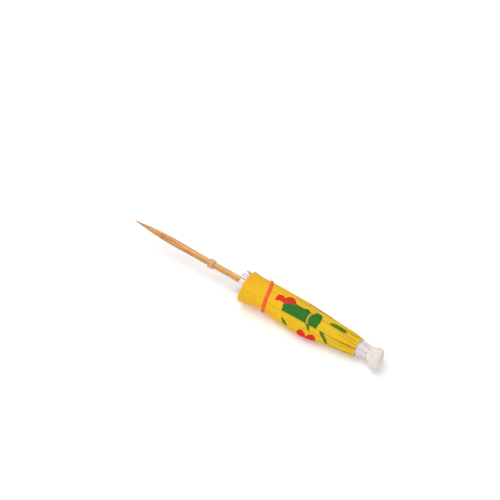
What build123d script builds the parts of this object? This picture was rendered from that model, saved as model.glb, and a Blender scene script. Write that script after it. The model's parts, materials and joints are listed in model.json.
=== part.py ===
"""Cocktail umbrella pick, closed and tied with its band, lying on its side.

Drawn upright in millimetres, point at z = 0 and cap on top, then laid down on hem and cap.
"""

import os
from math import asin, atan, atan2, cos, degrees, hypot, radians, sin, sqrt, tan

from build123d import *

# Pick: split bamboo, turned round, with one sharpened end
overall_length = 100.0
pick_d = 2.24
point_length = 11.0
point_end_d = 0.30
free_shaft_d = 2.20
free_shaft_length = 19.0
shaft_step_length = 1.5

# Cap: pressed pulp mushroom with a blind hole for the pick
cap_d = 7.7
cap_head_height = 4.2
cap_rim_drop = 2.1
cap_neck_d = 5.0
cap_neck_height = 0.75
cap_skin = 1.7
cap_bore_play = 0.03

# Crown: card ring that the ribs are creased from
crown_drop = 5.5
crown_wall = 0.60
crown_thickness = 0.5

# Ribs: card strips, bowed outward, thinner at the crown
rib_count = 8
rib_length = 50.0
rib_bow = 1.25
rib_thickness = 0.45
rib_width = 1.9
rib_taper_length = 6.0
rib_corner_r = 0.25
rib_side_gap = 0.08
crease_gap = 0.08
closed_angle = 1.9
open_angle = 65.0

# Struts: card strips, one end glued to a rib and the other creased to the runner
strut_arm = 20.0
strut_thickness = 0.4
tab_length = 3.5
tab_gap = 0.5

# Runner: card collar on a sleeve of rolled paper
runner_play = 0.06
collar_thickness = 0.8
sleeve_length = 8.0
sleeve_paper = 0.1
sleeve_layer_gap = 0.03
sleeve_half_turns = 4

# Retaining ring: a cut length of clear tube that grips the pick
ring_d = 3.5
ring_length = 2.0
ring_edge = 0.25
ring_play = 0.04
ring_parking_gap = 13.2

# Canopy: tissue paper, pleated between the ribs
canopy_drop = 3.7
canopy_length = 44.0
shoulder_drop = 4.5
shoulder_d = 7.1
waist_drop = 15.0
waist_d = 9.1
belly_drop = 26.0
belly_d = 9.9
tied_drop = 35.9
tied_d = 9.7
hem_d = 12.0
paper_wall = 0.14
paper_gap = 0.12
paper_top_pleat = 0.24
seam_gap = 0.10
pleat_angle = 15.0
valley_depth = 0.55

# Tie band: elastic loop round the closed canopy
band_width = 1.2
band_thickness = 0.4
band_play = 0.12

# Derived positions, measured along the pick and out from its axis
rib_pitch = 360.0 / rib_count
half_pitch = rib_pitch / 2
crown_z = overall_length - crown_drop
crown_r = pick_d / 2 + cap_bore_play + crown_wall
pivot_r = crown_r + crease_gap + rib_thickness / 2
rib_top_width = 2 * (pivot_r - rib_thickness / 2) * tan(radians(half_pitch)) - rib_side_gap
strut_width = 2 * (pivot_r - strut_thickness / 2) * tan(radians(half_pitch)) - rib_side_gap
pick_top_z = overall_length - cap_skin
cap_rim_z = overall_length - cap_rim_drop
neck_z = overall_length - cap_head_height

# Rib curve: an arc from the crown crease at the origin down to the rib's end, bowed towards +X
curve_r = (rib_length**2 / 4 + rib_bow**2) / (2 * rib_bow)
curve_x = rib_bow - curve_r
curve_z = -rib_length / 2
crown_turn = asin(-curve_z / curve_r)
strut_turn = crown_turn - strut_arm / curve_r
tab_turn = crown_turn - (strut_arm - tab_gap) / curve_r
tab_top_turn = tab_turn + tab_length / curve_r

# Strut crease on the rib, and the runner that the struts reach when closed and when open
strut_offset = rib_thickness / 2 + crease_gap + strut_thickness / 2
joint_x = curve_x + (curve_r - strut_offset) * cos(strut_turn)
joint_y = curve_z + (curve_r - strut_offset) * sin(strut_turn)
strut_length = hypot(joint_x, joint_y)
strut_angle = closed_angle + degrees(atan2(joint_x, -joint_y))
opening_angle = open_angle - closed_angle
joint_r = pivot_r + strut_length * sin(radians(strut_angle))
joint_z = crown_z - strut_length * cos(radians(strut_angle))
collar_z = crown_z - 2 * strut_length * cos(radians(strut_angle))
collar_r = pivot_r - strut_thickness / 2 - crease_gap
open_drop = 2 * strut_length * cos(radians(strut_angle + opening_angle))
runner_travel = crown_z - collar_z - open_drop
sleeve_z = collar_z - collar_thickness / 2 - sleeve_length
ring_z = sleeve_z - ring_parking_gap - ring_length

# Canopy levels
canopy_z = crown_z - canopy_drop
hem_z = canopy_z - canopy_length
tied_z = canopy_z - tied_drop
band_r = tied_d / 2 + band_play


def at(radius, z):
    """Point of a half profile."""
    return (radius, 0, z)


def on_curve(offset, angle):
    """Point beside the rib curve, offset outward from it."""
    return at(curve_x + (curve_r + offset) * cos(angle), curve_z + (curve_r + offset) * sin(angle))


def around(index, shape):
    """Shape turned to the place of one rib."""
    return Rot(0, 0, rib_pitch * index) * shape


def hinged(radius, z, angle, shape):
    """Strip hung from a crease at (radius, z) and swung outward by angle."""
    return Pos(radius, 0, z) * Rot(0, -angle, 0) * shape


def tube(inner_r, outer_r, z, length):
    """Plain ring round the pick."""
    ring = Cylinder(outer_r, length) - Cylinder(inner_r, length)
    return Pos(0, 0, z + length / 2) * ring


def bowed_strip(inner, outer, top_turn, end_turn, width):
    """Strip of card along the rib curve, between two offsets from it."""
    middle = (top_turn + end_turn) / 2
    edges = [
        ThreePointArc(on_curve(inner, top_turn), on_curve(inner, middle), on_curve(inner, end_turn)),
        Line(on_curve(inner, end_turn), on_curve(outer, end_turn)),
        ThreePointArc(on_curve(outer, end_turn), on_curve(outer, middle), on_curve(outer, top_turn)),
        Line(on_curve(outer, top_turn), on_curve(inner, top_turn)),
    ]
    return extrude(make_face(edges), width / 2, dir=(0, 1, 0), both=True)


def build_pick():
    """Turned stick with a long point and a free shaft of slightly smaller diameter."""
    shaft_top = point_length + free_shaft_length
    profile = Polyline(
        at(0, 0),
        at(point_end_d / 2, 0),
        at(free_shaft_d / 2, point_length),
        at(free_shaft_d / 2, shaft_top),
        at(pick_d / 2, shaft_top + shaft_step_length),
        at(pick_d / 2, pick_top_z),
        at(0, pick_top_z),
        close=True,
    )
    return revolve(make_face(profile.edges()), Axis.Z)


def build_cap():
    """Mushroom head, short neck and a seat on the crown ring."""
    bore_r = pick_d / 2 + cap_bore_play
    seat_z = crown_z + crown_thickness / 2
    under_z = neck_z - cap_neck_height
    rim_r = cap_d / 2
    neck_r = cap_neck_d / 2
    bore_z = pick_top_z + cap_bore_play
    crest_r = 0.58 * rim_r
    crest_z = overall_length - 0.05 * cap_rim_drop
    flare = Polyline(
        at(neck_r, neck_z),
        at(neck_r + 0.48 * (rim_r - neck_r), neck_z + 0.12 * (cap_rim_z - neck_z)),
        at(neck_r + 0.82 * (rim_r - neck_r), neck_z + 0.42 * (cap_rim_z - neck_z)),
        at(rim_r, cap_rim_z),
    )
    shoulder = ThreePointArc(
        at(rim_r, cap_rim_z),
        at(0.90 * rim_r, cap_rim_z + 0.68 * cap_rim_drop),
        at(crest_r, crest_z),
    )
    inside = Polyline(
        at(crest_r, crest_z),
        at(0, overall_length),
        at(0, bore_z),
        at(bore_r, bore_z),
        at(bore_r, seat_z),
        at(crown_r, seat_z),
        at(crown_r, under_z),
        at(neck_r, under_z),
        at(neck_r, neck_z),
    )
    return revolve(make_face([shoulder, *flare.edges(), *inside.edges()]), Axis.Z)


def build_crown():
    """Card ring under the cap."""
    inner_r = pick_d / 2 + cap_bore_play
    return tube(inner_r, crown_r, crown_z - crown_thickness / 2, crown_thickness)


def build_rib():
    """Bowed card strip with a rolled crease at its top edge, hanging from the crease."""
    plan = Polyline(
        (0, rib_top_width / 2, rib_thickness),
        (0, rib_top_width / 2, 0),
        (0, rib_width / 2, -rib_taper_length),
        (0, rib_width / 2, -rib_length),
        (0, -rib_width / 2, -rib_length),
        (0, -rib_width / 2, -rib_taper_length),
        (0, -rib_top_width / 2, 0),
        (0, -rib_top_width / 2, rib_thickness),
        close=True,
    )
    outline = extrude(make_face(plan.edges()), rib_length, dir=(1, 0, 0), both=True)
    outline = fillet(outline.edges().filter_by(Axis.X).group_by(Axis.Z)[0], rib_corner_r)
    half = rib_thickness / 2
    strip = bowed_strip(-half, half, crown_turn, -2 * crown_turn, 2 * rib_width) & outline
    crease = Rot(90, 0, 0) * Cylinder(half, rib_top_width)
    return strip + crease


def build_tab():
    """Glued end of a strut, flat on the inner face of its rib."""
    face = -rib_thickness / 2
    return bowed_strip(face - strut_thickness, face, tab_top_turn, tab_turn, strut_width)


def build_strut():
    """Card strip with a rolled crease at both ends."""
    strip = Pos(0, 0, -strut_length / 2) * Box(strut_thickness, strut_width, strut_length)
    crease = Rot(90, 0, 0) * Cylinder(strut_thickness / 2, strut_width)
    return strip + crease + Pos(0, 0, -strut_length) * crease


def build_sleeve():
    """Paper strip rolled round the pick into a loose spiral."""
    pitch = sleeve_paper + sleeve_layer_gap
    start_r = pick_d / 2 + runner_play
    inner = []
    outer = []
    for i in range(sleeve_half_turns):
        centre = (i % 2) * pitch / 2
        radius = start_r + i * pitch / 2
        side = 1 if i % 2 == 0 else -1
        for edges, r in ((inner, radius), (outer, radius + sleeve_paper)):
            edges.append(ThreePointArc((centre + side * r, 0), (centre, side * r), (centre - side * r, 0)))
    first = Line(inner[0] @ 0, outer[0] @ 0)
    last = Line(inner[-1] @ 1, outer[-1] @ 1)
    section = make_face([first, last, *inner, *outer])
    return Pos(0, 0, sleeve_z) * extrude(section, sleeve_length)


def build_ring():
    """Short clear tube with soft edges."""
    ring = tube(pick_d / 2 + ring_play, ring_d / 2, ring_z, ring_length)
    rims = ring.edges().filter_by(GeomType.CIRCLE).group_by(SortBy.RADIUS)[-1]
    return chamfer(rims, ring_edge)


def rib_face_r(z):
    """Distance of the ribs' outer face from the axis at height z, closed."""
    lean = radians(closed_angle)
    centre_r = pivot_r + curve_x * cos(lean) - curve_z * sin(lean)
    centre_z = crown_z + curve_x * sin(lean) + curve_z * cos(lean)
    return centre_r + sqrt((curve_r + rib_thickness / 2) ** 2 - (z - centre_z) ** 2)


def offset_inward(points, distance):
    """Mitred parallel of an open line of points, on its left-hand side."""
    normals = []
    for (x0, y0), (x1, y1) in zip(points, points[1:]):
        length = hypot(x1 - x0, y1 - y0)
        normals.append(((y0 - y1) / length, (x1 - x0) / length))
    moved = []
    for i, (x, y) in enumerate(points):
        ax, ay = normals[max(i - 1, 0)]
        bx, by = normals[min(i, len(normals) - 1)]
        reach = distance / (1 + ax * bx + ay * by)
        moved.append((x + reach * (ax + bx), y + reach * (ay + by)))
    return moved


def gore_section(drop, ridge_r, depth, wall):
    """One gore of the canopy, cut across: flat on a rib, ridge, valley, ridge, flat on the next rib."""
    z = canopy_z - drop
    flat_r = rib_face_r(z) + paper_gap + wall
    flat_half = 0.36 * flat_r * sin(radians(half_pitch))
    half = [
        (flat_r, seam_gap / 2),
        (flat_r, flat_half),
        (ridge_r * cos(radians(pleat_angle)), ridge_r * sin(radians(pleat_angle))),
    ]
    turn = radians(rib_pitch)
    mirrored = [(x * cos(turn) + y * sin(turn), x * sin(turn) - y * cos(turn)) for x, y in half]
    valley_r = ridge_r - depth
    middle = (valley_r * cos(turn / 2), valley_r * sin(turn / 2))
    outer = [*half, middle, *mirrored[::-1]]
    inner = offset_inward(outer, wall)
    loop = [(x, y, z) for x, y in [*outer, *inner[::-1]]]
    return make_face(Polyline(*loop, close=True).edges())


def build_gore():
    """Pleated paper between two ribs, full in the middle, drawn in by the band and flared at the hem."""
    top_r = rib_face_r(canopy_z) + paper_gap + paper_wall + paper_top_pleat
    sections = [gore_section(0, top_r, 0.4 * paper_top_pleat, 0.6 * paper_wall)]
    sections.append(gore_section(shoulder_drop, shoulder_d / 2, 0.5 * valley_depth, 0.8 * paper_wall))
    for drop, diameter in ((waist_drop, waist_d), (belly_drop, belly_d), (tied_drop, tied_d), (canopy_length, hem_d)):
        sections.append(gore_section(drop, diameter / 2, valley_depth, paper_wall))
    return loft(sections, ruled=True)


# Rolled until a gore is underneath, lying on its two pleats at the hem and on the rim of the cap
rest_drop = hem_d / 2 * cos(radians(half_pitch - pleat_angle)) - cap_d / 2
rest_angle = atan(rest_drop / (cap_rim_z - hem_z))
lying = Plane((0, 0, 0), x_dir=(sin(rest_angle), 0, cos(rest_angle)), z_dir=(cos(rest_angle), 0, -sin(rest_angle))).location * Rot(0, 0, half_pitch)

upright = {
    "pick": build_pick(),
    "cap": build_cap(),
    "crown_ring": build_crown(),
    "runner_collar": tube(pick_d / 2 + runner_play, collar_r, collar_z - collar_thickness / 2, collar_thickness),
    "runner_sleeve": build_sleeve(),
    "retaining_ring": build_ring(),
    "tie_band": tube(band_r, band_r + band_thickness, tied_z - band_width / 2, band_width),
}
rib = hinged(pivot_r, crown_z, closed_angle, build_rib())
tab = hinged(pivot_r, crown_z, closed_angle, build_tab())
strut = hinged(joint_r, joint_z, -strut_angle, build_strut())
gore = build_gore()
for i in range(rib_count):
    upright[f"rib_{i + 1}"] = around(i, rib)
    upright[f"strut_tab_{i + 1}"] = around(i, tab)
    upright[f"strut_{i + 1}"] = around(i, strut)
    upright[f"canopy_gore_{i + 1}"] = around(i, gore)

laid = {name: lying * shape for name, shape in upright.items()}
box = Compound(children=[shape.solid() for shape in laid.values()]).bounding_box()
frame_shift = Pos(-box.center().X, -box.center().Y, -box.min.Z)

os.makedirs("parts", exist_ok=True)
for name, shape in laid.items():
    export_step((frame_shift * shape).solid(), f"parts/{name}.step")
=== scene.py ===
import json
import math

import bpy
import numpy as np
from mathutils import Matrix, Vector


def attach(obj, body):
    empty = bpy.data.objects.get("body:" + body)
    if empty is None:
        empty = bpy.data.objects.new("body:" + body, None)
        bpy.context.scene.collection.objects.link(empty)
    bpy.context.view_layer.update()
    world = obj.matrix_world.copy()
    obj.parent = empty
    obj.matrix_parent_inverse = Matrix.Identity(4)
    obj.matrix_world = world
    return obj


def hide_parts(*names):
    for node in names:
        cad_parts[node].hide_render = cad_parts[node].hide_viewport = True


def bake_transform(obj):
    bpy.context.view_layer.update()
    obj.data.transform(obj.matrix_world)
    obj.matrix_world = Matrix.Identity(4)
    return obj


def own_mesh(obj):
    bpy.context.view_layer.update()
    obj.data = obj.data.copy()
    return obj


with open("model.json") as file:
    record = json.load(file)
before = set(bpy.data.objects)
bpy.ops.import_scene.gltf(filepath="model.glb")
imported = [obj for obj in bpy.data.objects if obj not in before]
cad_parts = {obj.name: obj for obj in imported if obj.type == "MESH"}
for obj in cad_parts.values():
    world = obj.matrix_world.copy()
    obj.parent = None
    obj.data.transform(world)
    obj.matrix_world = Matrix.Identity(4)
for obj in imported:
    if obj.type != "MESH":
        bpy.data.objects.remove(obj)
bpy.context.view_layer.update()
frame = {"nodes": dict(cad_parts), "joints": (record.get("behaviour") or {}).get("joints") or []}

# The pick: a split bamboo stick, turned round and whittled to a point at one end.
# Everything else is threaded on it, so its line and the rib creases round it give each piece its place.
# Pale waxy skin with long dark fibres.
MM = 0.001
RIBS = 8
CROWN_Z = 94.5
POINT, FREE_END, PICK_TOP, PICK_SIDES = 11.0, 30.0, 98.3, 72
FACET, FIBRE_LIFT, WHITTLE, SHRINK = 0.010, 0.006, 0.020, 0.008
DARK_FIBRE = (128, 66, 26)
WHITE = (1, 1, 1, 1)
joint = {j["name"]: j for j in frame["joints"]}
creases = [Vector(joint[f"rib_{k}_crease"]["pos_m"]) for k in range(1, RIBS + 1)]
crown = sum(creases, Vector()) / RIBS
to_cap = Vector(joint["runner_slide"]["axis"]).normalized()
to_first_rib = (creases[0] - crown).normalized()
to_third_rib = to_cap.cross(to_first_rib)
stand = Matrix((to_first_rib, to_third_rib, to_cap)).transposed().to_4x4()
stand.translation = crown - to_cap * CROWN_Z * MM


def hold_between(knots, at):
    """Smooth curve through (place, value) knots, read at an array of places."""
    x, y = np.array(knots, float).T
    slope = np.gradient(y, x)
    i = np.clip(np.searchsorted(x, at) - 1, 0, len(x) - 2)
    h = x[i + 1] - x[i]
    t = np.clip((at - x[i]) / h, 0, 1)
    rise = t * t * (3 - 2 * t)
    lean = t * (1 - t) ** 2 * slope[i] - t * t * (1 - t) * slope[i + 1]
    return y[i] * (1 - rise) + y[i + 1] * rise + h * lean


def round_angles(count):
    """Angles of points spaced evenly round a circle."""
    return np.arange(count) * 2 * np.pi / count


def ring_faces(rings, count, closed=False):
    """Four-sided faces from each ring of points to the next, and from the last to the first if closed."""
    faces = []
    for i in range(rings if closed else rings - 1):
        a, b = i * count, (i + 1) % rings * count
        faces += [(a + j, a + (j + 1) % count, b + (j + 1) % count, b + j) for j in range(count)]
    return faces


def new_piece(name, points, faces, smooth=True):
    """Mesh object from points in metres and faces."""
    mesh = bpy.data.meshes.new(name)
    mesh.from_pydata(points, [], faces)
    mesh.polygons.foreach_set("use_smooth", [smooth] * len(mesh.polygons))
    piece = bpy.data.objects.new(name, mesh)
    bpy.context.scene.collection.objects.link(piece)
    return piece


def turned_piece(name, radius, height, ends=(True, True)):
    """Piece of rings round the pick: radius is rings by points round, height one number per ring or the same shape."""
    rings, count = radius.shape
    angle = round_angles(count)
    z = np.broadcast_to(np.asarray(height, float).reshape(rings, -1), radius.shape)
    points = np.stack((radius * np.cos(angle), radius * np.sin(angle), z), axis=-1) * MM
    points = [tuple(p) for p in points.reshape(-1, 3)]
    faces = ring_faces(rings, count)
    if ends[0]:
        points.append((0, 0, float(z[0].mean()) * MM))
        faces += [(len(points) - 1, (j + 1) % count, j) for j in range(count)]
    if ends[1]:
        points.append((0, 0, float(z[-1].mean()) * MM))
        last = (rings - 1) * count
        faces += [(len(points) - 1, last + j, last + (j + 1) % count) for j in range(count)]
    piece = new_piece(name, points, faces)
    piece.matrix_world = stand
    return piece


z = np.concatenate((np.linspace(0, POINT, 46), np.linspace(POINT + 0.7, PICK_TOP, 120)))
pick_shape = [(0, 0.12), (1.0, 0.24), (POINT - 1, 1.035), (POINT, 1.095), (FREE_END, 1.1), (PICK_TOP, 1.115)]
profile = hold_between(pick_shape, z)[:, None]
grain = np.random.default_rng(4).normal(size=(3, PICK_SIDES))
grain = (grain + np.roll(grain, 1, axis=1)) / 2
drift = np.stack((np.ones_like(z), np.sin(z / 23), np.cos(z / 31)), axis=1) @ grain
angle, up = round_angles(PICK_SIDES)[None], z[:, None]
facets = FACET * np.cos(5 * angle + 0.8 * np.sin(up / 40)) + FIBRE_LIFT * drift
whittled = WHITTLE * np.cos(3 * angle + up / 3) * np.clip(1 - up / POINT, 0, 1)
pick = turned_piece("bamboo_pick", profile * (1 + facets - SHRINK) + whittled * profile, z)


def shades(*rgb):
    """A colour picked on a screen, 0 to 255, as the linear colour a shader takes."""
    linear = [(c / 255 / 12.92) if c <= 10 else ((c / 255 + 0.055) / 1.055) ** 2.4 for c in rgb]
    return (*linear, 1.0)


def level(value):
    """A plain value where a ramp takes a colour."""
    return (value, value, value, 1)


def finish_named(name):
    """New node material, with its nodes, their links and its shader."""
    material = bpy.data.materials.new(name)
    material.use_nodes = True
    tree = material.node_tree
    return material, tree.nodes, tree.links, tree.nodes["Principled BSDF"]


def put(nodes, kind, **settings):
    """Node of a kind, with properties by name, and inputs by 'in_' and their name or number."""
    node = nodes.new("ShaderNode" + kind)
    for key, value in settings.items():
        socket = key.removeprefix("in_")
        if socket == key:
            setattr(node, key, value)
        else:
            node.inputs[int(socket) if socket.isdigit() else socket].default_value = value
    return node


def noise(nodes, links, place, **settings):
    """Cloudy noise at a place, as a value round one half."""
    node = put(nodes, "TexNoise", **settings)
    links.new(place, node.inputs["Vector"])
    return node.outputs["Fac"]


def ramp(nodes, links, value, *stops):
    """Colour that a value picks from (place, colour) stops."""
    node = nodes.new("ShaderNodeValToRGB")
    elements = node.color_ramp.elements
    while len(elements) < len(stops):
        elements.new(0.5)
    for element, (place, colour) in zip(elements, stops):
        element.position = place
        element.color = colour
    links.new(value, node.inputs["Fac"])
    return node.outputs["Color"]


def darkened(nodes, links, colour, by, amount):
    """Colour multiplied by another, as far as the amount goes."""
    node = put(nodes, "Mix", data_type="RGBA", blend_type="MULTIPLY", in_0=amount)
    links.new(colour, node.inputs[6])
    links.new(by, node.inputs[7])
    return node.outputs[2]


def roughened(nodes, links, shader, height, strength, depth):
    """Fine relief on a finish, from a height value."""
    node = put(nodes, "Bump", in_Strength=strength, in_Distance=depth)
    links.new(height, node.inputs["Height"])
    links.new(node.outputs["Normal"], shader.inputs["Normal"])


# Long fibres: streaks drawn out along one direction, used in bamboo, pulp, card, newsprint, tissue and elastic
fibres = bpy.data.node_groups.new("long_fibres", "ShaderNodeTree")
for socket in ("Place", "Squeeze"):
    fibres.interface.new_socket(socket, in_out="INPUT", socket_type="NodeSocketVector")
for socket in ("Streak", "Fuzz"):
    fibres.interface.new_socket(socket, in_out="OUTPUT", socket_type="NodeSocketFloat")
n, l = fibres.nodes, fibres.links
given, gives = n.new("NodeGroupInput"), n.new("NodeGroupOutput")
drawn = put(n, "VectorMath", operation="MULTIPLY")
l.new(given.outputs["Place"], drawn.inputs[0])
l.new(given.outputs["Squeeze"], drawn.inputs[1])
coarse = noise(n, l, drawn.outputs[0], in_Scale=1.0, in_Detail=4.0, in_Roughness=0.62, in_Distortion=0.25)
fine = noise(n, l, drawn.outputs[0], in_Scale=3.7, in_Detail=3.0, in_Roughness=0.7)
l.new(coarse, gives.inputs["Streak"])
l.new(fine, gives.inputs["Fuzz"])


def streaks(nodes, links, place, squeeze):
    """The long fibres in one material, squeezed to so many features per unit of place along x, y and z."""
    node = nodes.new("ShaderNodeGroup")
    node.node_tree = fibres
    node.inputs["Squeeze"].default_value = squeeze
    links.new(place, node.inputs["Place"])
    return node.outputs


bamboo, n, l, shader = finish_named("bamboo")
spot = put(n, "TexCoord").outputs["Object"]
fibre = streaks(n, l, spot, (1900, 1900, 12))
skin = ramp(
    n, l, fibre["Streak"],
    (0.36, shades(190, 124, 66)), (0.44, shades(248, 192, 122)),
    (0.462, shades(*DARK_FIBRE)), (0.490, shades(*DARK_FIBRE)),
    (0.512, shades(251, 199, 130)), (0.59, shades(255, 206, 138)), (0.64, shades(186, 120, 62)),
)
blotch = noise(n, l, spot, in_Scale=150.0, in_Detail=2.0)
tan = ramp(n, l, blotch, (0.35, shades(255, 242, 216)), (0.65, shades(242, 212, 172)))
line = ramp(n, l, fibre["Fuzz"], (0.38, shades(176, 128, 84)), (0.44, WHITE))
l.new(darkened(n, l, darkened(n, l, skin, tan, 0.7), line, 0.8), shader.inputs["Base Color"])
wax = ramp(n, l, fibre["Fuzz"], (0.3, level(0.62)), (0.7, level(0.42)))
l.new(wax, shader.inputs["Roughness"])
roughened(n, l, shader, fibre["Streak"], 0.35, 0.00006)
pick.data.materials.append(bamboo)
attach(pick, "stick")
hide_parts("pick")

# The cap: a small mushroom pressed from paper pulp, pushed on the end of the pick with glue.
# Matt warm white, a little lumpy, with faint rings from the press on its head.
# It dried leaning, with its rim thick and hanging on one side.
CAP_TOP, CAP_R, CAP_SIDES = 100.0, 3.86, 96
HEAD_LOW, HEAD_RISE, HEAD_DROP, HEAD_FIT = 96.0, 1.2, 0.06, 0.985
PRESS_PITCH, PRESS_DEPTH = 0.34, 0.0028
LEAN, LEAN_TURN, LEAN_Z, LEAN_SHIFT = math.radians(12), math.radians(66), 97.5, 0.66
FOOT_Z, FOOT_RISE = 94.9, 2.0
RIM_Z, RIM_RISE, RIM_SWELL, RIM_HANG = 99.1, 1.2, 0.08, 0.17
NECK_LOW, NECK_HIGH, NECK_R, NECK_SPREAD = 95.0, 98.0, 2.55, 0.60
cap_outline = [
    (1.80, 94.86), (1.90, 94.80), (2.28, 94.76), (2.42, 94.80), (2.49, 95.00), (2.50, 95.40),
    (2.50, 95.80), (2.53, 96.08), (2.68, 96.34), (2.96, 96.66), (3.28, 97.00), (3.56, 97.32),
    (3.77, 97.66), (CAP_R, 98.08), (CAP_R, 98.48), (3.76, 98.90), (3.54, 99.26), (3.14, 99.54),
    (2.55, 99.75), (1.75, 99.89), (0.85, 99.97), (0.15, CAP_TOP),
]
steps = np.linspace(0, len(cap_outline) - 1, 120)
r, z = (hold_between([(i, p[axis]) for i, p in enumerate(cap_outline)], steps)[:, None] for axis in (0, 1))
angle = round_angles(CAP_SIDES)[None]
swell = np.clip((z - HEAD_LOW) / HEAD_RISE, 0, 1)
lumps = (
    0.012 * np.cos(2 * angle + 0.6) + 0.008 * np.cos(3 * angle + z * 0.7)
    + 0.004 * np.cos(5 * angle - z * 1.1) + 0.003 * np.sin(9 * angle + 2 * z)
) * swell
press_rings = PRESS_DEPTH * np.sin(2 * np.pi * (r + 0.3 * z) / PRESS_PITCH + 0.5 * np.cos(angle)) * swell
cap_radius = np.maximum(r * (HEAD_FIT + lumps + press_rings), 0.02)
cap = turned_piece("pulp_cap", cap_radius, z - HEAD_DROP * swell, ends=(False, True))


def ease(t):
    """Smooth step from 0 to 1."""
    t = min(max(t, 0), 1)
    return t * t * (3 - 2 * t)


for vertex in cap.data.vertices:
    x, y, z = Matrix.Rotation(-LEAN_TURN, 3, "Z") @ vertex.co / MM
    free, rim = ease((z - FOOT_Z) / FOOT_RISE), ease((RIM_Z - z) / RIM_RISE)
    wide = math.hypot(x, y)
    flare = 1
    if NECK_LOW < z < NECK_HIGH:
        flare += max(0, min(NECK_R + NECK_SPREAD * (z - NECK_LOW), CAP_R) - wide) * max(0, -x) / wide**2
    flare += RIM_SWELL * free * rim * max(0, x) / max(wide, 0.1)
    x, y, z = x * flare, y * flare, z - RIM_HANG * max(x, 0) * free * rim
    tilt, high = LEAN * free, z - LEAN_Z
    z = LEAN_Z + high * math.cos(tilt) + x * math.sin(tilt)
    x = x * math.cos(tilt) - high * math.sin(tilt) + LEAN_SHIFT * free
    vertex.co = Matrix.Rotation(LEAN_TURN, 3, "Z") @ Vector((x, y, z)) * MM


def sums(nodes, links):
    """Short way to chain scalar sums: takes an operation and sockets or numbers, gives the result's socket."""
    def total(operation, *terms, **more):
        node = put(nodes, "Math", operation=operation, **more)
        for i, term in enumerate(terms):
            if isinstance(term, (int, float)):
                node.inputs[i].default_value = term
            else:
                links.new(term, node.inputs[i])
        return node.outputs[0]
    return total


def settle(shader, **values):
    """Plain values for a finish."""
    for key, value in values.items():
        shader.inputs[key.replace("_", " ")].default_value = value


pulp, n, l, shader = finish_named("pressed_pulp")
total = sums(n, l)
spot = put(n, "TexCoord").outputs["Object"]
mottle = noise(n, l, spot, in_Scale=420.0, in_Detail=6.0, in_Roughness=0.6)
tone = ramp(n, l, mottle, (0.3, shades(222, 211, 202)), (0.5, shades(238, 229, 222)), (0.72, shades(246, 240, 235)))
l.new(tone, shader.inputs["Base Color"])
settle(shader, Roughness=0.82, Specular_IOR_Level=0.25)
turning = streaks(n, l, spot, (260, 260, 6200))
grit = noise(n, l, spot, in_Scale=5200.0, in_Detail=3.0, in_Roughness=0.7)
roughened(n, l, shader, total("ADD", turning["Streak"], grit), 0.4, 0.00008)
cap.data.materials.append(pulp)
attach(cap, "stick")
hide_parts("cap")

# The frame: a card ring round the pick, the ribs creased from it, and a strut glued inside each rib.
# All are die-cut strips of thin board: white outside, greyer where the board is cheap and hidden.
# Worn ribs end unevenly, each pushed a little aside and cut a little long or short.
RIB_LENGTH, RIB_BOW, RIB_THICK, RIB_HALF = 50.0, 1.25, 0.45, 0.95
RIB_SOFT, RIB_ROUND = 0.05, 0.25
RIB_PUSH = (0.90, 1.60, 1.00, 1.00, 0.60, 1.00, 0.80, 1.70)
RIB_REACH = (-0.2, 0.5, 0.0, 0.2, -0.2, 0.1, 0.2, 0.3)
CREASE_R, CLOSED_LEAN = (creases[0] - crown).length / MM, math.radians(1.9)
HALF_GAP = 0.4142
curve_r = (RIB_LENGTH**2 / 4 + RIB_BOW**2) / (2 * RIB_BOW)
half_sweep = math.asin(RIB_LENGTH / 2 / curve_r)


def card(name, light, dark, dirt, squeeze):
    """Uncoated board with fibres along the strip, faint soiling, painted shade towards the cap and a slightly furry
    surface.
    """
    material, n, l, shader = finish_named(name)
    total = sums(n, l)
    spot = put(n, "TexCoord").outputs["Object"]
    strand = streaks(n, l, spot, squeeze)
    tone = ramp(n, l, strand["Streak"], (0.32, dark), (0.6, light))
    smudge = noise(n, l, spot, in_Scale=330.0, in_Detail=5.0, in_Roughness=0.65)
    veil = ramp(n, l, smudge, (0.52, WHITE), (0.74, dirt))
    # Painted shade: the board's colour darkens towards the cap end, standing in for the shade round the hub.
    split = put(n, "SeparateXYZ")
    l.new(spot, split.inputs[0])
    decimetres = total("MULTIPLY", split.outputs[2], 10.0)
    crown_shade = ramp(n, l, decimetres, (0.78, WHITE), (0.90, shades(240, 234, 237)))
    l.new(darkened(n, l, darkened(n, l, tone, veil, 0.8), crown_shade, 1.0), shader.inputs["Base Color"])
    settle(shader, Roughness=0.85, Specular_IOR_Level=0.2)
    roughened(n, l, shader, strand["Fuzz"], 0.25, 0.00005)
    return material


white_card = card(
    "white_card", shades(252, 248, 250), shades(240, 234, 237), shades(222, 215, 218), (2600, 2600, 160)
)
grey_card = card(
    "grey_card", shades(206, 202, 194), shades(178, 173, 164), shades(170, 164, 154), (160, 2600, 2600)
)
for name, node in frame["nodes"].items():
    if name == "crown_ring":
        node.material_slots[0].material = white_card
    if name == "runner_collar" or name.startswith("strut_"):
        node.material_slots[0].material = grey_card


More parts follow.
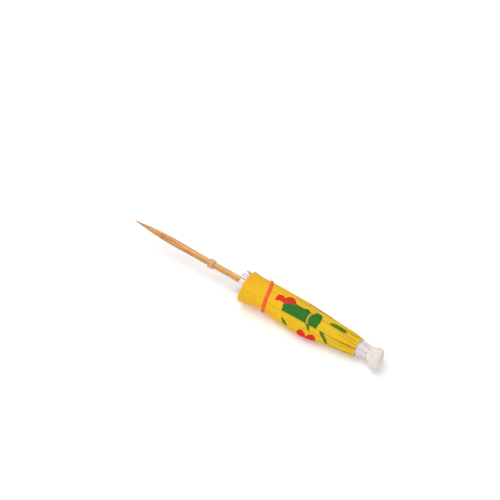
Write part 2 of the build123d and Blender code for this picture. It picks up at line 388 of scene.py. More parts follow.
def rib_section(along):
    """Cut across a rib at a distance from its crease: out-of-plane offsets and half widths round the strip."""
    root = HALF_GAP * (CREASE_R - RIB_THICK / 2) - 0.04
    side = root + (RIB_HALF - root) * min(along / 6, 1)
    flank = min(max((5.2 - along) / 2.2, 0), 1) * min(along / 0.6, 1)
    outside = side + (HALF_GAP * RIB_THICK + 0.03 * min(along / 3.7, 1)) * flank
    end = RIB_LENGTH - along
    if end < RIB_ROUND:
        trim = RIB_ROUND - math.sqrt(max(0.0, RIB_ROUND**2 - (RIB_ROUND - end) ** 2))
        side, outside = side - trim, outside - trim
    h = RIB_THICK / 2
    across = [-0.97, -0.6, -0.2, 0.2, 0.6, 0.97]
    face = [(h + 0.012 * math.cos(3 * a), a * outside) for a in across]
    back = [(-h, a * side) for a in reversed(across)]
    right = [(h - RIB_SOFT, outside), (-h + RIB_SOFT, side)]
    left = [(-h + RIB_SOFT, -side), (h - RIB_SOFT, -outside)]
    return face + right + back + left


def rib_line(along, off):
    """Closed rib so far from its crease and so far out of its middle plane: distance from the pick, and height."""
    sweep = half_sweep - along / curve_r
    x = RIB_BOW - curve_r + (curve_r + off) * np.cos(sweep)
    z = -RIB_LENGTH / 2 + (curve_r + off) * np.sin(sweep)
    out = CREASE_R + x * math.cos(CLOSED_LEAN) - z * math.sin(CLOSED_LEAN)
    return out, CROWN_Z + z * math.cos(CLOSED_LEAN) + x * math.sin(CLOSED_LEAN)


rolled_crease, rounded_end = [-0.22, -0.20, -0.14, -0.06], [49.75, 49.85, 49.93, 49.98, 50.0]
stations = np.concatenate((rolled_crease, np.linspace(0, 8, 17), np.linspace(9, 49.6, 50), rounded_end))
for k in range(RIBS):
    warp = np.random.default_rng(40 + k).uniform(-0.04, 0.04)
    points = []
    for along in stations:
        thin = 1.0 if along >= 0 else math.sqrt(max(0.0, 1 - (along / (RIB_THICK / 2)) ** 2))
        sway = warp * math.sin(along / 7 + k) * min(max(along - 5, 0) / 10, 1)
        sway += RIB_PUSH[k] * (along / RIB_LENGTH) ** 3
        reach = max(along, 0) + RIB_REACH[k] * (along / RIB_LENGTH) ** 8
        for off, aside in rib_section(max(along, 0)):
            out, z = rib_line(reach, off * thin)
            points.append((out * MM, (aside + sway) * MM, (z - min(along, 0)) * MM))
    around = len(points) // len(stations)
    faces = ring_faces(len(stations), around)
    faces += [tuple(range(around - 1, -1, -1)), tuple(len(points) - around + j for j in range(around))]
    rib = new_piece(f"card_rib_{k + 1}", points, faces, smooth=False)
    rib.matrix_world = stand @ Matrix.Rotation(2 * math.pi * k / RIBS, 4, "Z")
    rib.data.materials.append(white_card)
    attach(rib, f"rib_{k + 1}")
    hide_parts(f"rib_{k + 1}")

# The runner: a card collar that carries the struts, on a sleeve of newsprint rolled round the pick.
# The sleeve is loose enough to slide and spreads the push of the ring below it.
newsprint, n, l, shader = finish_named("newsprint")
spot = put(n, "TexCoord").outputs["Object"]
strand = streaks(n, l, spot, (900, 900, 900))
tone = ramp(n, l, strand["Streak"], (0.35, shades(186, 181, 168)), (0.62, shades(216, 211, 198)))
ink = noise(n, l, spot, in_Scale=700.0, in_Detail=1.0)
set_off = ramp(n, l, ink, (0.58, WHITE), (0.66, shades(196, 196, 200)))
l.new(darkened(n, l, tone, set_off, 0.7), shader.inputs["Base Color"])
settle(shader, Roughness=0.9, Specular_IOR_Level=0.15)
roughened(n, l, shader, strand["Fuzz"], 0.3, 0.00005)
frame["nodes"]["runner_sleeve"].material_slots[0].material = newsprint

# The retaining ring: a slice of soft clear tube, tight on the pick.
# Pushed up behind the sleeve, it holds the umbrella open. Its cut ends are soft and a little out of square.
RING_LOW, RING_HIGH, RING_BORE, RING_R, RING_SIDES = 31.03, 33.03, 1.16, 1.75, 64
RING_EDGE, RING_BULGE, BORE_EDGE = 0.28, 0.02, 0.08
RING_OVAL, RING_SLOPE = 0.012, 0.07
half = (RING_HIGH - RING_LOW) / 2
shoulder_r, shoulder_z = RING_R - RING_EDGE, half - RING_EDGE
bend = np.linspace(0, np.pi / 2, 7)
outer = [(shoulder_r + RING_EDGE * math.sin(a), -shoulder_z - RING_EDGE * math.cos(a)) for a in bend]
outer += [(RING_R + RING_BULGE * math.sin(math.pi * t), -shoulder_z * (1 - 2 * t)) for t in (0.2, 0.4, 0.6, 0.8)]
outer += [(shoulder_r + RING_EDGE * math.cos(a), shoulder_z + RING_EDGE * math.sin(a)) for a in bend]
bore = [
    (RING_BORE + BORE_EDGE, half - 0.01), (RING_BORE, half - 0.10), (RING_BORE, 0),
    (RING_BORE, -half + 0.10), (RING_BORE + BORE_EDGE, -half + 0.01),
]
loop = np.array(outer + bore + outer[:1])
angle = round_angles(RING_SIDES)[None]
oval = 1 + RING_OVAL * np.cos(2 * angle + 0.7) * (loop[:, :1] - RING_BORE) / (RING_R - RING_BORE)
cut_slope = RING_SLOPE * np.cos(angle - 0.6) * loop[:, 1:] / half
ring_height = (RING_LOW + RING_HIGH) / 2 + loop[:, 1:] + cut_slope
ring = turned_piece("tube_ring", loop[:, :1] * oval, ring_height, ends=(False, False))
clear_tube, n, l, shader = finish_named("clear_tube")
spot = put(n, "TexCoord").outputs["Object"]
haze = noise(n, l, spot, in_Scale=1300.0, in_Detail=3.0)
milky = ramp(n, l, haze, (0.3, shades(236, 192, 148)), (0.7, shades(250, 216, 180)))
l.new(milky, shader.inputs["Base Color"])
frost = ramp(n, l, haze, (0.3, level(0.24)), (0.7, level(0.40)))
l.new(frost, shader.inputs["Roughness"])
settle(shader, Transmission_Weight=0.3, Alpha=0.58, IOR=1.3)
ring.data.materials.append(clear_tube)
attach(ring, "ring")
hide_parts("retaining_ring")

# The canopy: printed tissue paper glued over the ribs, one gore from rib to rib.
# Closed, each gore lies as a strip beside either rib, with its spare paper folded in between them.
# Opened, the strips part with their ribs and the folds draw out into the panel.
PAPER_GAP, PAPER_LENGTH, TIE_DROP = 3.7, 44.0, 35.9
PAPER_TOP = CROWN_Z - PAPER_GAP
OPEN_R, OPEN_SPREAD = 2.05, 0.906
GORE_TURN = math.radians(360 / RIBS)
FRONT, SAG_TURN = math.radians(9), math.radians(67.5)
LOOSE_TURN, CORNER_TURN = 1.5, 1.45
SLITS, SLIT_HALF = (30, 30, 22, 21, 24, 22, 23, 27), 0.02
FOLDS, ROWS, STRIP_COLUMNS = 12, 96, 46
RIB_CLEAR = 0.10
PRINT_RIBS, SHEET_SIZE, WRAP_SIZE = 4, 120, 300
closed_shape = [
    (0, 3.03), (2, 3.22), (4.5, 3.47), (9, 3.88), (15, 4.36), (19, 4.62), (26, 4.88), (31, 4.97),
    (34.8, 4.95), (36.6, 4.94), (39, 5.08), (41.5, 5.34), (44, 5.68),
]
sag = [(0, 0.0), (8, 0.10), (20, 0.22), (30, 0.32), (34, 0.38), (37, 0.56), (44, 1.30)]
loose_fold = [
    (0, 0.10), (5, 0.25), (9, 0.48), (11, 0.70), (13.7, 1.10), (16.3, 1.45), (20, 1.42), (23.4, 1.25),
    (28, 0.90), (32, 0.55), (35, 0.12), (44, 0.0),
]
fold_depth = [(0, 0.25), (6, 0.6), (15, 1.1), (28, 1.5), (36, 1.3), (44, 1.6)]
rng = np.random.default_rng(11)
pleats = []
for k in range(RIBS):
    sharp = rng.permutation(6)[:3]
    for i, place in enumerate((4.0, 10.0, 16.0, 30.0, 36.0, 41.0)):
        strong = i in sharp
        angle = math.radians(k * 45 + place + rng.uniform(-2.5, 2.5))
        sway = rng.uniform(-0.06, 0.06)
        height = rng.uniform(0.26, 0.40) if strong else rng.uniform(0.06, 0.16)
        reach = rng.uniform(7, 13) if strong else rng.uniform(9, 34)
        side, phase = rng.choice((-1.0, 1.0)), rng.uniform(0, 6)
        hidden = rng.uniform(0.1, 0.6) if strong else rng.uniform(0.0, 0.3)
        pleats.append((angle, sway, height, reach, side, phase, hidden))
crumples = [(rng.integers(2, 15), rng.uniform(3.0, 16.0), rng.uniform(0, 6.3), rng.uniform(0, 6.3)) for _ in range(14)]


def nearest_turn(angle):
    """Angle brought within half a turn of zero."""
    return (angle + np.pi) % (2 * np.pi) - np.pi


def tie_line(turn):
    """Distance of the tie band down from the paper's top edge: it lies askew."""
    return TIE_DROP - 1.35 * np.cos(turn - FRONT) - 1.05 * np.sin(turn - FRONT) + 0.10 * np.sin(3 * turn)


def pleat_line(angle, sway, phase, drop):
    """Angle round the pick of a pleat at a distance down the paper."""
    return angle + sway * np.sin(drop / 9 + phase) + 0.02 * np.sin(drop / 3.1 + 2 * phase)


def over_rib(turn, drop):
    """Least distance from the pick at which the paper clears the ribs on either side."""
    out, z = rib_line(np.linspace(0, RIB_LENGTH, 120), RIB_THICK / 2 + RIB_CLEAR)
    out = np.interp(PAPER_TOP - drop, z[::-1], out[::-1])
    clear = 0
    for rib in (np.floor(turn / GORE_TURN), np.ceil(turn / GORE_TURN)):
        off = turn - rib * GORE_TURN
        sway = np.array(RIB_PUSH)[rib.astype(int) % RIBS] * ((drop + PAPER_GAP) / RIB_LENGTH) ** 3
        aside = np.abs(out * np.tan(off) - sway)
        clear = np.maximum(clear, out / np.cos(off) - 6 * np.clip(aside - RIB_HALF - 0.1, 0, None))
    return clear


def folded_paper(turn, drop):
    """Closed paper at an angle round the pick and a distance down: distance from the pick, and the painted shade of
    its creases.
    """
    radius = hold_between(closed_shape, drop) + hold_between(sag, drop) * np.cos(turn - SAG_TURN)
    low_side = nearest_turn(turn - FRONT - LOOSE_TURN)
    radius = radius + hold_between(loose_fold, drop) * np.exp(-((low_side / 0.6) ** 2))
    crease_shade = np.zeros_like(radius)
    for angle, sway, height, reach, side, phase, _ in pleats:
        off = nearest_turn(turn - pleat_line(angle, sway, phase, drop)) * side
        edge = np.clip(off / 0.022 + 0.5, 0, 1)
        fall = np.clip(1 - off / 0.22, 0, 1) ** 1.5
        fade = np.clip(1.15 - drop / reach, 0.04, 1) * np.clip(0.45 + drop / 5, 0, 1)
        radius = radius + height * fade * edge * edge * (3 - 2 * edge) * fall
        # Painted shade: a dark line along the foot of each pleat's step.
        wide = 0.012 + 0.08 * height
        crease_shade = crease_shade + 3.4 * height * fade * np.exp(-((off + wide) / wide) ** 2)
    near_tie = np.exp(-((drop - tie_line(turn)) / 2.4) ** 2)
    radius = radius + 0.05 * near_tie * np.sin(19 * turn + 3 * np.sin(2 * turn)) - 0.06 * near_tie
    buckle = 0.05 * np.sin(4 * turn + drop / 9) * np.sin(2 * turn + drop / 13 + 1)
    radius = radius + buckle + 0.04 * np.sin(9 * turn + 2 * np.sin(drop / 6))
    for around, length, first, second in crumples:
        radius = radius + 0.018 * np.sin(around * turn + first) * np.sin(2 * np.pi * drop / length + second)
    loose = np.clip((drop - TIE_DROP - 1) / 7.1, 0, 1) ** 1.4
    corner = np.exp(-nearest_turn(turn - FRONT + CORNER_TURN) ** 2 / 0.09)
    radius = radius + loose * (0.12 * np.sin(2 * turn + 1.2) + 0.10 * np.sin(5 * turn + 2.9) + 0.45 * corner)
    return np.maximum(radius, over_rib(turn, drop)), np.clip(crease_shade, 0, 1)


def print_round(turn, drop):
    """Way round the paper, measured from the first rib: what is lost in a pleat makes it jump there."""
    round_at = hold_between(closed_shape, drop) * turn
    for angle, sway, _, reach, _, phase, hidden in pleats:
        off = nearest_turn(turn - pleat_line(angle, sway, phase, drop))
        if np.abs(off).max() < 2:
            fade = np.clip(1.15 - drop / reach, 0, 1)
            round_at = round_at + hidden * fade * np.clip(off / 0.02 + 0.5, 0, 1)
    return round_at


def in_row(turn, radius, z):
    """Point of the closed umbrella, in the frame of the whole part."""
    local = np.stack((radius * np.cos(turn), radius * np.sin(turn), z), axis=-1) * MM
    m = np.array(stand)
    return local @ m[:3, :3].T + m[:3, 3]


def open_width(drop):
    """Width of a gore in the flat at a distance down from its top edge."""
    return 2 * math.sin(GORE_TURN / 2) * (OPEN_R + OPEN_SPREAD * (drop + PAPER_GAP))


SHEET_TURN = 2 * math.asin(OPEN_SPREAD * math.sin(GORE_TURN / 2))
SHEET_HOLE = OPEN_R / OPEN_SPREAD + PAPER_GAP


def on_sheet(ribs, drop, aside):
    """Place on the flat sheet, from its middle: so many ribs round, down from the top edge, and aside from the rib."""
    out, turn = SHEET_HOLE + drop, ribs * SHEET_TURN
    return np.stack((out * np.cos(turn) - aside * np.sin(turn), out * np.sin(turn) + aside * np.cos(turn)), axis=-1)


def build_gore(k):
    """One gore of strip, folds and strip, with its place on the flat sheet, whose print comes twice round, and on the
    closed bundle. Also gives the two points between which it is slit open."""
    first_turn, slit = k * GORE_TURN, math.radians(SLITS[k])
    left = slice(0, STRIP_COLUMNS)
    inner = slice(STRIP_COLUMNS, STRIP_COLUMNS + FOLDS - 1)
    right = slice(STRIP_COLUMNS + FOLDS - 1, None)
    before, after = inner.start - 1, inner.stop
    drop = np.linspace(0, PAPER_LENGTH, ROWS)[:, None]
    base = hold_between(closed_shape, drop)
    slack = np.arcsin(SLIT_HALF / base)
    share, inward = np.arange(1, FOLDS) / FOLDS, np.arange(1, FOLDS) % 2
    across = 0.5 - np.sin(np.arcsin(1 - 2 * share) / 3)
    step = np.linspace(0, 1, STRIP_COLUMNS)
    turn = first_turn + np.hstack((
        (slit - slack) * step, slit + slack * (2 * across - 1), slit + slack + (GORE_TURN - slit - slack) * step,
    ))
    from_slit = turn - first_turn - slit
    torn = (
        0.12 * np.sin(3 * turn + 1) + 0.10 * np.sin(7 * turn + 2 * np.sin(2 * turn))
        + 0.07 * np.sin(19 * turn + 3 * np.sin(3 * turn))
    )
    cut = (
        0.20 * np.sin(3 * turn + 1.0) + 0.10 * np.sin(8 * turn) + 0.04 * np.sin(29 * turn)
        - 0.75 * np.exp(-nearest_turn(turn - FRONT) ** 2 / 0.8)
    )
    place = drop + torn * np.clip(1 - drop / 4, 0, 1) + cut * (drop / PAPER_LENGTH) ** 8
    drawn_up = place.copy()
    drawn_up[:, inner] -= 2.6 * (drop / PAPER_LENGTH) ** 3 * (1 - (2 * share - 1) ** 2)
    radius, crease_shade = folded_paper(turn, drawn_up)
    edge = np.exp(-(from_slit / 0.07) ** 2) * np.clip((37 - drop) / 8, 0, 1) * np.clip(drop / 4, 0, 1)
    radius[:, left] += 0.15 * edge[:, left]
    radius[:, right] -= 0.04 * edge[:, right]
    radius[:, inner] -= 0.05 + 0.08 * np.clip(1 - drop / 24, 0, 1) + hold_between(fold_depth, drop) * inward
    # Painted shadow on the strip beside the slit, under the edge of the strip that lies over it, and painted shade in
    # the inner folds.
    painted_slit_shadow = 0.85 * np.exp(-from_slit[:, right] / 0.04) * np.clip((30 - drop) / 14, 0, 1)
    crease_shade[:, inner] = 0.45 * inward
    crease_shade[:, right] = np.clip(crease_shade[:, right] + painted_slit_shadow, 0, 1)
    points = in_row(turn, radius, PAPER_TOP - drawn_up)
    wide = turn.shape[1]
    corner = np.arange(ROWS - 1)[:, None] * wide + np.arange(wide - 1)
    faces = np.stack((corner, corner + wide, corner + wide + 1, corner + 1), axis=-1)
    way = print_round(turn, place)
    from_left, from_right = way - way[:, :1], way - way[:, -1:]
    on_left = (np.arange(wide) < STRIP_COLUMNS)[None, :, None]
    halves = []
    half = (wide - 1) // 2
    for ribs, columns in (
        ((k + 1) % PRINT_RIBS - 1, slice(0, half)), ((k + 2) % PRINT_RIBS - 2, slice(half, None)),
    ):
        sheet = np.where(on_left, on_sheet(ribs, place, from_left), on_sheet(ribs + 1, place, from_right))
        start, end = sheet[:, before, None], sheet[:, after, None]
        sheet[:, inner] = start + (end - start) * share[None, :, None]
        halves.append((sheet / SHEET_SIZE + 0.5).reshape(-1, 2)[faces[:, columns]])
    spare = open_width(drop) - base * GORE_TURN
    wrap = base * turn
    wrap[:, inner] = wrap[:, before, None] + spare * share
    wrap[:, right] += spare
    wrap = np.stack((wrap / WRAP_SIZE, place / WRAP_SIZE), axis=-1)
    gore = new_piece(f"tissue_gore_{k + 1}", points.reshape(-1, 3).tolist(), faces.reshape(-1, 4).tolist())
    for layer, uv in (("sheet", np.concatenate(halves, axis=1)), ("wrap", wrap.reshape(-1, 2)[faces])):
        gore.data.uv_layers.new(name=layer).data.foreach_set("uv", uv.astype(np.float32).ravel())
    for label, values in (("down_paper", place / PAPER_LENGTH), ("fold_shade", crease_shade)):
        attribute = gore.data.attributes.new(label, "FLOAT", "POINT")
        attribute.data.foreach_set("value", values.astype(np.float32).ravel())
    along_slit = to_first_rib * math.cos(first_turn + slit) + to_third_rib * math.sin(first_turn + slit)
    across_slit = to_cap.cross(along_slit)
    return gore, crown - across_slit * SLIT_HALF * MM, crown + across_slit * SLIT_HALF * MM


def mark_group(name, sizes, masks):
    """Node group of a printed mark, begun: its sockets, and where a place lies from the mark's centre."""
    group = bpy.data.node_groups.new(name, "ShaderNodeTree")
    for socket in ("Place", "Centre"):
        group.interface.new_socket(socket, in_out="INPUT", socket_type="NodeSocketVector")
    for socket in sizes:
        group.interface.new_socket(socket, in_out="INPUT", socket_type="NodeSocketFloat")
    for socket in masks:
        group.interface.new_socket(socket, in_out="OUTPUT", socket_type="NodeSocketFloat")
    n, l = group.nodes, group.links
    given, gives = n.new("NodeGroupInput"), n.new("NodeGroupOutput")
    away, split = put(n, "VectorMath", operation="SUBTRACT"), put(n, "SeparateXYZ")
    l.new(given.outputs["Place"], away.inputs[0])
    l.new(given.outputs["Centre"], away.inputs[1])
    l.new(away.outputs[0], split.inputs[0])
    return group, l, sums(n, l), given.outputs, gives.inputs, split.outputs[0], split.outputs[1]


# Round flower of several petals with a darker eye
flower_mark, l, total, given, gives, x, y = mark_group("flower_mark", ("Radius", "Petals", "Turn"), ("Petal", "Eye"))
reach = total("SQRT", total("ADD", total("MULTIPLY", x, x), total("MULTIPLY", y, y)))
bearing = total("ADD", total("ARCTAN2", y, x), given["Turn"])
wave = total("ABSOLUTE", total("COSINE", total("MULTIPLY", bearing, total("MULTIPLY", given["Petals"], 0.5))))
limit = total("MULTIPLY", given["Radius"], total("ADD", 0.6, total("MULTIPLY", wave, 0.4)))
petal = total("MULTIPLY", total("SUBTRACT", limit, reach), 6.0, use_clamp=True)
parting = total("MULTIPLY", total("SUBTRACT", wave, 0.10), 12.0, use_clamp=True)
heart = total("SUBTRACT", total("MULTIPLY", given["Radius"], 0.45), reach)
heart = total("MULTIPLY", heart, 4.0, use_clamp=True)
l.new(total("MULTIPLY", petal, total("MAXIMUM", parting, heart)), gives["Petal"])
eye = total("SUBTRACT", total("MULTIPLY", given["Radius"], 0.2), reach)
l.new(total("MULTIPLY", eye, 6.0, use_clamp=True), gives["Eye"])

# Leaf with a vein, pointed or blunt, that also serves as a stem when drawn thin and as a petal when bent
leaf_sizes = ("Half Length", "Half Width", "Turn", "Bend", "Blunt")
leaf_mark, l, total, given, gives, x, y = mark_group("leaf_mark", leaf_sizes, ("Blade", "Vein"))
cosine, sine = total("COSINE", given["Turn"]), total("SINE", given["Turn"])
along = total("ADD", total("MULTIPLY", x, cosine), total("MULTIPLY", y, sine))
aside = total("SUBTRACT", total("MULTIPLY", y, cosine), total("MULTIPLY", x, sine))
part = total("DIVIDE", along, given["Half Length"])
bow = total("SUBTRACT", 1.0, total("MULTIPLY", part, part))
aside = total("ABSOLUTE", total("SUBTRACT", aside, total("MULTIPLY", given["Bend"], bow)))
arch = total("SUBTRACT", 1.0, total("POWER", total("ABSOLUTE", part), given["Blunt"]))
room = total("SUBTRACT", total("MULTIPLY", given["Half Width"], arch), aside)
blade = total("MULTIPLY", room, 6.0, use_clamp=True)
l.new(blade, gives["Blade"])
vein = total("SUBTRACT", 1.0, total("MULTIPLY", aside, 7.0, use_clamp=True))
l.new(total("MULTIPLY", blade, vein), gives["Vein"])

tissue, n, l, shader = finish_named("yellow_tissue")
total = sums(n, l)


def in_mm(layer, scale, middle):
    """Place on the paper in millimetres, from one of its UV layers."""
    uv = put(n, "UVMap", uv_map=layer)
    node = put(n, "VectorMath", operation="MULTIPLY_ADD")
    node.inputs[1].default_value = (scale, scale, 0)
    node.inputs[2].default_value = (-scale * middle, -scale * middle, 0)
    l.new(uv.outputs[0], node.inputs[0])
    return node.outputs[0]


SHAKE = 0.9
flat, wrapped = in_mm("sheet", SHEET_SIZE, 0.5), in_mm("wrap", WRAP_SIZE, 0)
down = put(n, "Attribute", attribute_name="down_paper").outputs["Fac"]
fold_shade = put(n, "Attribute", attribute_name="fold_shade").outputs["Fac"]
wobble = put(n, "TexNoise", in_Scale=0.45, in_Detail=2.0)
l.new(flat, wobble.inputs["Vector"])
centred = put(n, "VectorMath", operation="ADD", in_1=(-SHAKE / 2, -SHAKE / 2, 0))
l.new(flat, centred.inputs[0])
shaken = put(n, "VectorMath", operation="MULTIPLY_ADD", in_1=(SHAKE, SHAKE, 0))
l.new(wobble.outputs["Color"], shaken.inputs[0])
l.new(centred.outputs[0], shaken.inputs[2])
dye = ramp(
    n, l, down, (0.0, shades(238, 205, 32)), (0.4, shades(236, 196, 26)),
    (0.75, shades(244, 192, 22)), (1.0, shades(245, 190, 18)),
)
cloud = noise(n, l, wrapped, in_Scale=0.20, in_Detail=4.0, in_Roughness=0.6)
uneven = ramp(n, l, cloud, (0.28, shades(252, 230, 194)), (0.46, shades(255, 247, 233)), (0.60, WHITE))
paper = darkened(n, l, dye, uneven, 1.0)

LEAF_GREEN, STALK_GREEN, DARK_GREEN = shades(35, 111, 17), shades(76, 124, 10), shades(28, 96, 16)
RED, DEEP_RED, OCHRE = shades(227, 34, 23), shades(188, 28, 22), shades(190, 165, 56)
PRINT_TOP, PRINT_FOOT, STALK_HALF = 0.10, 0.775, 1
printed = total("MULTIPLY", total("SUBTRACT", PRINT_FOOT, down), 40.0, use_clamp=True)
printed = total("MULTIPLY", printed, total("MULTIPLY", total("SUBTRACT", down, PRINT_TOP), 30.0, use_clamp=True))


def over(below, colour, mask, mode="MIX"):
    """Plain colour laid over another through a mask."""
    node = put(n, "Mix", data_type="RGBA", blend_type=mode, clamp_factor=True, in_7=colour)
    l.new(mask, node.inputs[0])
    l.new(below, node.inputs[6])
    return node.outputs[2]


def marked(group, ribs, drop, aside, turn, **sizes):
    """A printed mark on the sheet: ribs round, down from the top edge, aside from the rib, turned from its line."""
    node = n.new("ShaderNodeGroup")
    node.node_tree = group
    l.new(shaken.outputs[0], node.inputs["Place"])
    node.inputs["Centre"].default_value = (*on_sheet(ribs, drop, aside), 0)
    node.inputs["Turn"].default_value = turn + ribs * SHEET_TURN
    for key, value in sizes.items():
        node.inputs[key.replace("_", " ")].default_value = value
    return node.outputs


leaves = (
    (0, 21.3, 0.1, 7.0, 5.0, 0.03, 0.0, 12), (0, 29.5, 10.6, 4.0, 2.2, -0.60, 0.4, 2),
    (0, 15.5, 12.0, 2.8, 1.3, 0.90, -0.3, 2), (1, 11.5, 0.3, 3.3, 0.70, -0.84, 0.0, 6),
    (1, 25.4, 2.3, 2.5, 0.64, -0.72, 0.1, 3), (1, 17.9, -0.9, 2.1, 0.60, -0.74, 0.1, 4),
    (1, 29.8, 9.2, 4.2, 2.4, 0.80, 0.4, 2), (1, 23.5, 8.4, 3.0, 1.5, -0.70, 0.3, 2),
    (2, 23.6, 5.8, 3.4, 2.3, 0.40, 0.3, 2), (2, 25.6, 3.2, 2.6, 0.8, 0.50, 0.3, 2),
    (-1, 8.3, 1.5, 3.6, 0.90, 0.0, 0.1, 4), (-1, 16.1, 2.0, 1.7, 1.5, 0.0, 0.0, 4),
    (-1, 20.2, 2.9, 1.3, 1.3, 0.0, 0.0, 3), (-1, 28.2, 10.4, 4.2, 2.4, -0.50, 0.4, 2),
    (-1, 24.0, -6.6, 3.2, 1.7, -0.60, 0.3, 2),
)
stems = (
    (0, 17.4, 0.1, 3.4, 0.48, 1.57, -1.4, 6), (0, 26.5, 8.2, 4.6, 0.28, 0.25, 0.7, 6),
    (1, 27.0, 6.4, 4.4, 0.28, 0.2, -0.7, 6), (2, 23.0, 2.2, 4.0, 0.28, -0.10, 0.5, 6),
    (-1, 23.4, 0.3, 4.0, 0.28, 0.10, -0.5, 6), (-1, 24.6, 8.4, 4.6, 0.28, 0.1, 0.6, 6),
)
loose_petals = (
    (0, 29.85, 0.10, 1.95, 1.25, 0.27, -0.95, 4), (0, 26.5, -0.85, 2.2, 1.6, 0.30, -1.3, 4),
    (-1, 29.85, 4.30, 1.95, 1.25, 0.27, -0.95, 4), (-1, 26.5, 3.30, 2.2, 1.6, 0.30, -1.3, 4),
)
for shapes, colour in ((leaves, LEAF_GREEN), (stems, OCHRE), (loose_petals, RED)):
    for ribs, drop, aside, half_length, half_width, turn, bend, blunt in shapes:
        sizes = {"Half Length": half_length, "Half Width": half_width, "Bend": bend, "Blunt": blunt}
        mark = marked(leaf_mark, ribs, drop, aside, turn, **sizes)
        thin_leaf = shapes is leaves and half_width < STALK_HALF
        paper = over(paper, STALK_GREEN if thin_leaf else colour, total("MULTIPLY", mark["Blade"], printed))
        if shapes is leaves and not thin_leaf:
            paper = over(paper, DARK_GREEN, total("MULTIPLY", mark["Vein"], printed))
for ribs, drop, aside, radius, petals, turn in (
    (0, 22.0, 9.0, 3.8, 5, 0.9), (1, 17.1, 5.8, 5.0, 5, 0.78), (2, 17.1, 1.2, 5.0, 5, 0.62),
    (2, 29.4, 7.4, 4.0, 5, 0.2), (-1, 19.6, 8.6, 3.7, 5, 2.0),
):
    mark = marked(flower_mark, ribs, drop, aside, turn, Radius=radius, Petals=petals)
    paper = over(paper, RED, total("MULTIPLY", mark["Petal"], printed))
    paper = over(paper, DEEP_RED, total("MULTIPLY", mark["Eye"], printed))
# Painted shade: the paper is darkened in its creases and inner folds and beside the slits.
painted_crease_shade = total("MULTIPLY", fold_shade, 0.9, use_clamp=True)
paper = over(paper, shades(188, 124, 46), painted_crease_shade, "MULTIPLY")
l.new(paper, shader.inputs["Base Color"])
strand = streaks(n, l, wrapped, (5.0, 0.55, 1.0))
roughened(n, l, shader, strand["Streak"], 0.3, 0.00006)
gloss = ramp(n, l, strand["Fuzz"], (0.3, level(0.58)), (0.7, level(0.72)))
l.new(gloss, shader.inputs["Roughness"])
settle(shader, Specular_IOR_Level=0.3)
for k in range(RIBS):
    gore, start, end = build_gore(k)
    gore.data.materials.append(tissue)
    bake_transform(gore)
    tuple(start)
    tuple(end)
    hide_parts(f"canopy_gore_{k + 1}")

# The tie band: a small loop of coral elastic snapped round the closed canopy.
# Thin soft rubber, a little see-through, lying slightly askew and pressed into the paper.
BAND_WIDTH, BAND_THICK, BAND_LIFT = 1.1, 0.42, 0.02
BAND_SIDES, BAND_SECTION = 160, 20
section = np.linspace(0, 2 * np.pi, BAND_SECTION, endpoint=False)
flat_across = np.abs(np.cos(section)) ** 0.5 * np.sign(np.cos(section))
flat_out = np.abs(np.sin(section)) ** 0.75 * np.sign(np.sin(section))
points = []
for turn in round_angles(BAND_SIDES):
    drop = float(tie_line(turn))
    width = BAND_WIDTH * (1 + 0.06 * math.sin(2 * turn + 1.2))
    inside = float(folded_paper(np.array([turn]), np.array([drop]))[0][0]) + BAND_LIFT
    for across, out in zip(flat_across, flat_out):
        radius, z = inside + BAND_THICK / 2 * (1 + out), PAPER_TOP - drop + width / 2 * across
        points.append(tuple(in_row(np.array(turn), np.array(radius), np.array(z))))
band = new_piece("elastic_band", points, ring_faces(BAND_SIDES, BAND_SECTION, closed=True))
coral, n, l, shader = finish_named("coral_elastic")
spot = put(n, "TexCoord").outputs["Object"]
stretch = streaks(n, l, spot, (420, 2600, 2600))
tone = ramp(
    n, l, stretch["Streak"], (0.3, shades(232, 70, 40)), (0.5, shades(248, 92, 52)), (0.72, shades(251, 112, 68))
)
l.new(tone, shader.inputs["Base Color"])
settle(shader, Roughness=0.50, Specular_IOR_Level=0.3)
settle(shader, Subsurface_Weight=0.15, Subsurface_Radius=(0.0006, 0.0003, 0.0002))
roughened(n, l, shader, stretch["Fuzz"], 0.25, 0.00004)
band.data.materials.append(coral)
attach(band, "band")
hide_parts("tie_band")
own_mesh(band)

# The table: one large sheet of plain white paper that the umbrella lies on.
# Smooth and matt, with a faint tooth, and lit so that it shows as bright as the light round it.
bpy.ops.mesh.primitive_plane_add(size=4.0)
table = bpy.context.object
table.name = "table"


def seen(nodes, total):
    """One for rays that show a surface, nought for rays that only carry its light."""
    rays = put(nodes, "LightPath").outputs
    mirrored = total("MAXIMUM", rays["Is Glossy Ray"], rays["Is Transmission Ray"])
    return total("MAXIMUM", rays["Is Camera Ray"], mirrored)


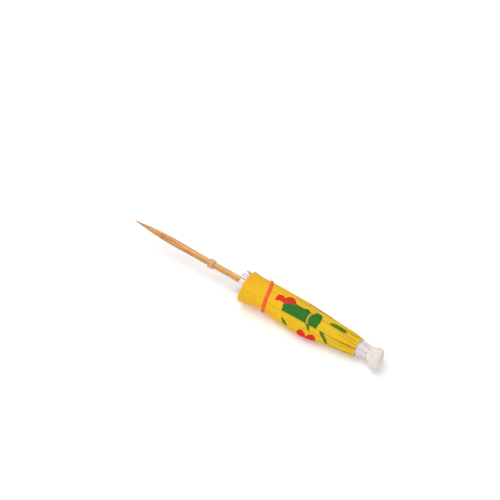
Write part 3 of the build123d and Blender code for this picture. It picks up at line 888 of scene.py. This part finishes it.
paper_white, n, l, shader = finish_named("table_paper")
total = sums(n, l)
spot = put(n, "TexCoord").outputs["Object"]
tooth = noise(n, l, spot, in_Scale=900.0, in_Detail=2.0)
white = ramp(n, l, tooth, (0.3, shades(247, 247, 248)), (0.7, shades(250, 250, 250)))
l.new(white, shader.inputs["Base Color"])
settle(shader, Roughness=0.9, Specular_IOR_Level=0.0, Emission_Color=WHITE)
l.new(total("MULTIPLY", seen(n, total), 0.16), shader.inputs["Emission Strength"])
table.data.materials.append(paper_white)

# The light: a white studio with one broad lamp overhead and a weaker one from the side.
# What is seen of the studio is brighter than what it throws, so the shadows stay soft and clear.
world = bpy.data.worlds.new("studio")
world.use_nodes = True
bpy.context.scene.world = world
n, l = world.node_tree.nodes, world.node_tree.links
total = sums(n, l)
l.new(total("ADD", 0.50, total("MULTIPLY", seen(n, total), 0.50)), n["Background"].inputs["Strength"])
settle(n["Background"], Color=WHITE)
for name, place, spread, power in (
    ("window", (-0.35, -0.05, 0.90), 50, 1.34), ("fill", (0.60, -0.70, 0.55), 60, 0.62),
):
    lamp = bpy.data.lights.new(name, "SUN")
    lamp.angle = math.radians(spread)
    lamp.energy = power
    holder = bpy.data.objects.new(name, lamp)
    bpy.context.scene.collection.objects.link(holder)
    holder.location = place
    holder.rotation_mode = "QUATERNION"
    holder.rotation_quaternion = (-Vector(place)).to_track_quat("-Z", "Y")

# The camera: a long lens that looks down on the table from the side of the cap.
# Its place is fitted to the point and the cap of the umbrella in the photograph.
YAW, PITCH = math.radians(33.991), math.radians(51.748)
camera = bpy.data.objects.new("camera", bpy.data.cameras.new("camera"))
bpy.context.scene.collection.objects.link(camera)
camera.location = (0.19933, -0.29915, 0.48288)
back = Vector((math.sin(YAW) * math.cos(PITCH), -math.cos(YAW) * math.cos(PITCH), math.sin(PITCH)))
camera.rotation_mode = "QUATERNION"
camera.rotation_quaternion = (-back).to_track_quat("-Z", "Y")
camera.data.sensor_width = 36.0
camera.data.lens = 128.1
camera.data.clip_start = 0.01
bpy.context.scene.camera = camera
bpy.context.scene.view_settings.view_transform = "Standard"
